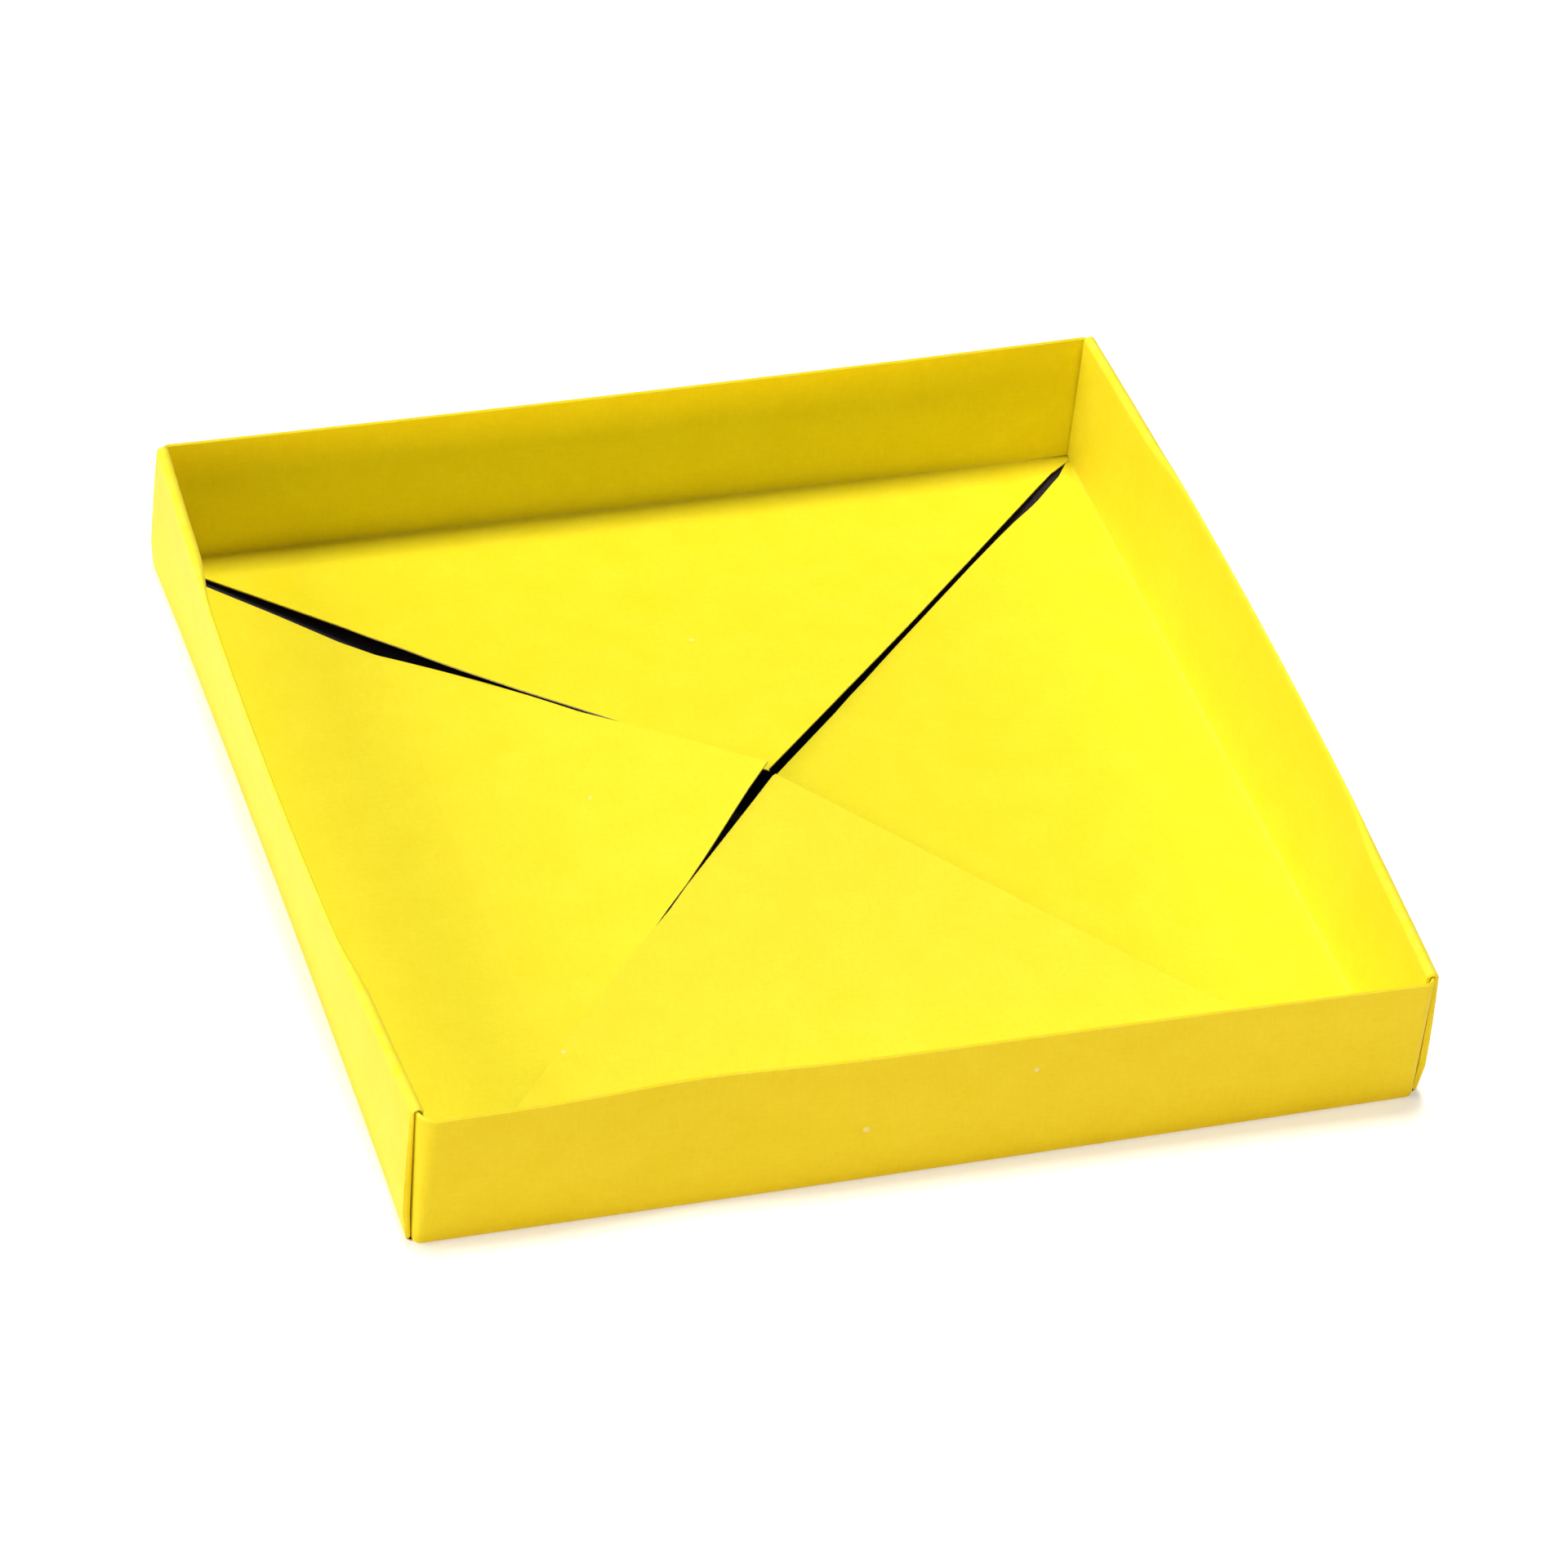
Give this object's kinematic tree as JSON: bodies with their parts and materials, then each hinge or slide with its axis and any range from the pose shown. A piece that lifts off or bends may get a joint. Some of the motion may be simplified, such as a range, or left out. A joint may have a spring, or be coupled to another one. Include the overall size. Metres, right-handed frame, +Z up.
{
  "type": "origami box",
  "caption": "Shallow square open tray folded from one square sheet of two-coloured paper, with double walls and triangular floor flaps whose tips meet at the middle.",
  "frame": {"origin": "middle of the underside", "axes": "+Z up, out of the open top; the front wall faces -Y; the side walls, which hold the tucked corner webs, face -X and +X"},
  "size_m": [0.0808, 0.0808, 0.0126],
  "materials": {
    "folding_paper": "uncoated folding paper, yellow face outwards and near-black reverse inside the folds"
  },
  "bodies": {
    "root": {"folded_sheet": "folding_paper"}
  },
  "joints": []
}
